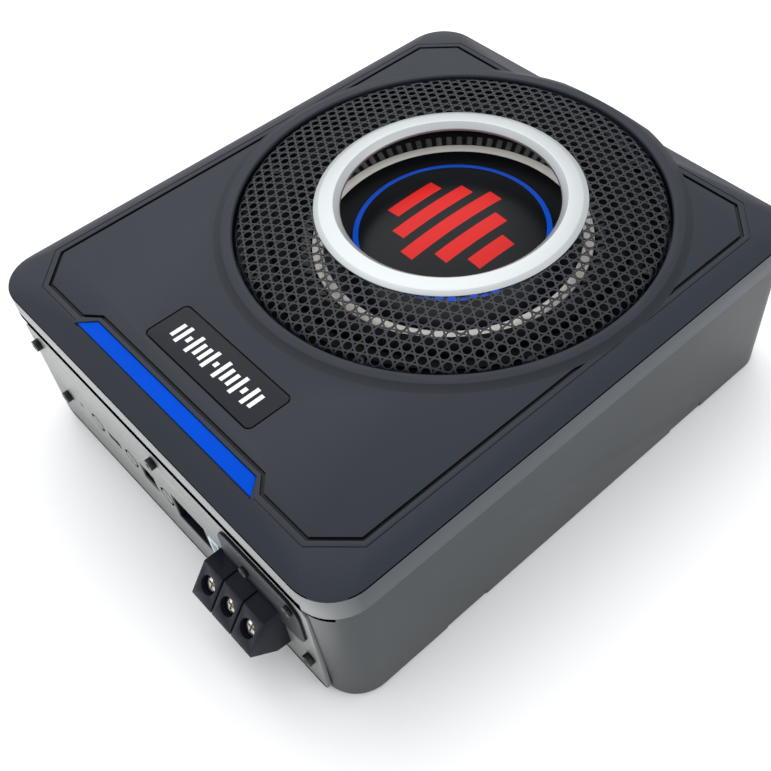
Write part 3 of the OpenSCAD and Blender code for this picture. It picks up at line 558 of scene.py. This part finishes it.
def lathe(profile, steps=192, rounding=0.0):
    """Spins a closed profile of (radius, height) in millimetres about the driver's axis."""
    bm = bmesh.new()
    points = [bm.verts.new((r * MM, 0, h * MM)) for r, h in profile]
    for a, b in zip(points, points[1:] + points[:1]):
        bm.edges.new((a, b))
    if rounding:
        bmesh.ops.bevel(bm, geom=points + bm.edges[:], offset=rounding * MM, affect="VERTICES",
                        segments=3, profile=0.5, material=-1)
    bmesh.ops.spin(bm, geom=bm.verts[:] + bm.edges[:], cent=(0, 0, 0), axis=(0, 0, 1),
                   angle=2 * math.pi, steps=steps, use_merge=True)
    bmesh.ops.remove_doubles(bm, verts=bm.verts, dist=JOIN)
    bmesh.ops.recalc_face_normals(bm, faces=bm.faces)
    bmesh.ops.translate(bm, verts=bm.verts, vec=DRIVER)
    return bm


print("helpers ready")

# %% [markdown]
# ## Eased edges on the housing
# No moulded or machined edge is perfectly sharp, and the thin highlight along it is what makes a
# surface look real. A copy of the CAD solid has its triangles merged into whole faces, and then
# its sharp edges are bevelled a little.

# %% Eased edges on the housing
COPY_JOIN, FLAT_ANGLE, SHARP_ANGLE, EASED_CRISP = 2e-6, 0.3, 28, 30
EASED = {"top_cover": 0.3, "tub": 0.4, "accent_strip": 0.15, "nameplate": 0.2,
         "control_panel": 0.15, "terminal_block": 0.4, "panel_screws": 0.2,
         "terminal_flange_screws": 0.15, "speaker_level_socket": 0.15, "gain_knob": 0.25,
         "lowpass_knob": 0.25, "bass_knob": 0.25, "phase_switch_slider": 0.15,
         "positive_screw": 0.12, "remote_screw": 0.12, "ground_screw": 0.12}

for node, width in EASED.items():
    bm = bmesh.new()
    bm.from_mesh(nodes[node].data)
    bmesh.ops.remove_doubles(bm, verts=bm.verts, dist=COPY_JOIN)
    bmesh.ops.dissolve_limit(bm, angle_limit=math.radians(FLAT_ANGLE), verts=bm.verts,
                             edges=bm.edges)
    limit = math.radians(SHARP_ANGLE)
    sharp = [e for e in bm.edges if e.is_manifold and e.calc_face_angle(0) > limit]
    bmesh.ops.bevel(bm, geom=sharp, offset=width * MM, affect="EDGES", segments=2, profile=0.5,
                    material=-1, clamp_overlap=True)
    piece(node + "_eased", bm, [node], nodes[node]["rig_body"], EASED_CRISP)

# %% [markdown]
# ## Grille
# The grille is a steel sheet with round holes in a honeycomb layout, pressed into a dome with a
# rolled rim. One cell, a hexagon around a hole, is repeated over the flat sheet, and then the
# sheet is bent onto the dome. Each hole's edge is lowered a little, as punching leaves it.

# %% Grille
PITCH, HOLE = 5.8, 2.08
PUNCH_WIDTH, PUNCH_DROP, SHEET, INSET, CELL_JOIN = 0.16, 0.14, 0.7, 0.2, 0.02
DOME_IN, DOME_OUT, MESH_IN, MESH_SHORT = 60, 104, 64.5, 4
DOME_TOP, DOME_FALL, DOME_FLAT, DOME_SPAN = 103.5, 4.9, 63.8, 40.2
RIM = [(104.6, 98.4), (105.8, 97.6), (106.7, 96.5), (107.15, 95.2), (107.3, 93.6), (107.3, 87)]
CELLS = range(-24, 25)


def dome_height(r):
    return DOME_TOP - DOME_FALL * max(0.0, (r - DOME_FLAT) / DOME_SPAN) ** 1.7


dome = [(r, dome_height(r)) for r in range(DOME_IN, DOME_OUT)] + RIM
travel = [float(DOME_IN)]
for (r0, h0), (r1, h1) in zip(dome, dome[1:]):
    travel.append(travel[-1] + math.hypot(r1 - r0, h1 - h0))


def on_dome(flat):
    """Bends a point of the flat sheet onto the dome; its height is kept as depth in the sheet."""
    s = math.hypot(flat.x, flat.y) / MM
    k = max(1, next((i for i, t in enumerate(travel) if t >= s), len(travel) - 1))
    share = (s - travel[k - 1]) / (travel[k] - travel[k - 1])
    (r0, h0), (r1, h1) = dome[k - 1], dome[k]
    r, h = r0 + (r1 - r0) * share, h0 + (h1 - h0) * share
    steep = math.atan2(h1 - h0, r1 - r0)
    r, h = r - math.sin(steep) * flat.z / MM, h + math.cos(steep) * flat.z / MM
    way = Vector((flat.x, flat.y, 0)).normalized()
    return Vector((way.x * r * MM, way.y * r * MM, h * MM))


def only_verts(geom):
    return [g for g in geom if isinstance(g, bmesh.types.BMVert)]


bm = bmesh.new()
bmesh.ops.create_circle(bm, cap_ends=True, segments=6, radius=PITCH / math.sqrt(3) * MM)
bmesh.ops.subdivide_edges(bm, edges=bm.edges[:], cuts=2)
for radius, depth in ((HOLE + PUNCH_WIDTH, 0.0), (HOLE, PUNCH_DROP)):
    hole = max(bm.faces, key=lambda f: len(f.verts))
    bmesh.ops.inset_individual(bm, faces=[hole], thickness=INSET * MM, use_even_offset=False)
    for v in hole.verts:
        v.co = Vector((v.co.x, v.co.y, 0)).normalized() * radius * MM
        v.co.z = -depth * MM
bmesh.ops.delete(bm, geom=[hole], context="FACES_ONLY")
first = bm.verts[:] + bm.edges[:] + bm.faces[:]
column = PITCH * math.sqrt(3) / 2
count = 0
for i in CELLS:
    for j in CELLS:
        cx, cy = i * column, (j + (i % 2) / 2) * PITCH
        if MESH_IN < math.hypot(cx, cy) < travel[-1] - MESH_SHORT:
            made = bmesh.ops.duplicate(bm, geom=first)["geom"]
            bmesh.ops.translate(bm, verts=only_verts(made), vec=(cx * MM, cy * MM, 0))
            count += 1
bmesh.ops.delete(bm, geom=only_verts(first), context="VERTS")
bmesh.ops.remove_doubles(bm, verts=bm.verts, dist=CELL_JOIN * MM)
for v in bm.verts:
    v.co = on_dome(v.co)
bmesh.ops.recalc_face_normals(bm, faces=bm.faces)
if sum(f.normal.z for f in bm.faces) < 0:
    bmesh.ops.reverse_faces(bm, faces=bm.faces)
bmesh.ops.solidify(bm, geom=bm.faces[:], thickness=SHEET * MM)
bmesh.ops.translate(bm, verts=bm.verts, vec=DRIVER)
piece("grille_mesh", bm, ["grille"], crisp=30)
print(count, "holes")

# %% [markdown]
# ## Grille ring
# A turned aluminium ring closes the middle of the grille: a narrow outer bevel, a wide and nearly
# flat face, and a bright bevel inwards. It is spun from its section, with the corners of the
# section rounded first.

# %% Grille ring
RING = [(67.5, 103.55), (67.5, 104.1), (64.8, 105.2), (57.6, 106.0), (54.6, 103.3),
        (54.4, 101.9), (55.8, 101.9), (57.0, 103.5)]
piece("ring_turned", lathe(RING, 256, 0.2), ["grille_ring"], crisp=40)

# %% [markdown]
# ## Cone, cap and trim ring
# The moving parts are shallow turned shapes, so a spun section is enough. The cap is a thin dome
# with a rolled edge, and the trim ring fills the step between the cap and the surround.

# %% Cone, cap and trim ring
CONE_IN, CONE_OUT, CONE_T = 25.5, 77.5, 1.2
CONE_REF_R, CONE_REF_Z, CONE_SLOPE = 66, 73.95, 0.537
CAP_R, CAP_TOP, CAP_BEND, CAP_T, CAP_STEPS = 65.6, 87.6, 543, 0.8, 16
CAP_RIM = [(CAP_R, 73.9), (64.7, 73.4), (64.7, 79.2)]
TRIM_IN, TRIM_OUT, TRIM_LIFT = 65.8, 71.5, 0.12
TRIM_IN_TOP, TRIM_OUT_TOP = 79.2, 79.4


def cone_height(r):
    return CONE_REF_Z + (r - CONE_REF_R) * CONE_SLOPE


cap_radii = [CAP_R * i / CAP_STEPS for i in range(CAP_STEPS + 1)]
cap_top = [(r, CAP_TOP - r ** 2 / CAP_BEND) for r in cap_radii]
cap_low = [(r, h - CAP_T) for r, h in reversed(cap_top[:-1])]
cap_section = cap_top + CAP_RIM + cap_low
piece("cap_domed", lathe(cap_section), ["dust_cap"], "cone_assembly", 40)
trim = [(TRIM_IN, cone_height(TRIM_IN) + TRIM_LIFT), (TRIM_OUT, cone_height(TRIM_OUT) + TRIM_LIFT),
        (TRIM_OUT, TRIM_OUT_TOP), (TRIM_IN, TRIM_IN_TOP)]
piece("trim_turned", lathe(trim, 192, 0.15), ["trim_ring"], "cone_assembly", 40)
cone_section = [(CONE_IN, cone_height(CONE_IN)), (CONE_IN, cone_height(CONE_IN) - CONE_T),
                (CONE_OUT, cone_height(CONE_OUT) - CONE_T), (CONE_OUT, cone_height(CONE_OUT))]
piece("cone_pressed", lathe(cone_section, 144), ["cone"], "cone_assembly", 40)

# %% [markdown]
# ## Surround
# The rubber roll joins the cone to the basket. Its inner edge moves with the cone and its outer
# edge stays, so it rides on neither body, and for each point a share is worked out that is larger
# the nearer the point is to the cone. Short radial pleats stiffen its inner lip: they are a wave
# around the axis, added to the spun lip.

# %% Surround
ROLL_R, ROLL_HALF, ROLL_LOW, ROLL_CLIMB, ROLL_RISE = 84.5, 7, 81.2, 8.2, 9
RUBBER, RUBBER_SIDE = 0.9, 0.8
LIP = [(98.2, 89.5), (98.2, 88.6), (92.4, 88.6)]
PLEAT_START, PLEAT_END, PLEAT_RISE = 72.5, 76.6, 0.9
LIP_LOW, LIP_MIDDLE, LIP_HIGH = 0.15, 0.6, 1.0
MOVES_WITHIN, STAYS_FROM = 0.0775, 0.0915

half_roll = []
for degrees in range(0, 181, 12):
    a = math.radians(degrees)
    height = ROLL_LOW + ROLL_CLIMB * degrees / 180 + ROLL_RISE * math.sin(a)
    half_roll.append((ROLL_R - ROLL_HALF * math.cos(a), height))
under_roll = []
for r, h in reversed(half_roll[1:-1]):
    inward = (ROLL_R - r) / ROLL_HALF * RUBBER_SIDE
    under_roll.append((r + inward, h - RUBBER))
inner_lip = [(r, cone_height(r) + LIP_LOW) for r in (76.9, 72.2)]
inner_lip += [(r, cone_height(r) + LIP_HIGH) for r in (72.2, 72.7, 76.4, 76.9)]
roll = lathe(inner_lip + half_roll + LIP + under_roll, PLEATS * 6)
for v in roll.verts:
    x, y = v.co.x - DRIVER[0], v.co.y - DRIVER[1]
    r = math.hypot(x, y) / MM
    if PLEAT_START < r < PLEAT_END and v.co.z > (cone_height(r) + LIP_MIDDLE) * MM:
        v.co.z += PLEAT_RISE * MM * max(0.0, math.sin(PLEATS * math.atan2(y, x)))
surround = piece("surround_roll", roll, ["surround"], None, 60)
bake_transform(surround)
for v in surround.data.vertices:
    r = math.hypot(v.co.x, v.co.y - DRIVER[1])
    share = min(1.0, max(0.0, (STAYS_FROM - r) / (STAYS_FROM - MOVES_WITHIN)))
    share * share * (3 - 2 * share)
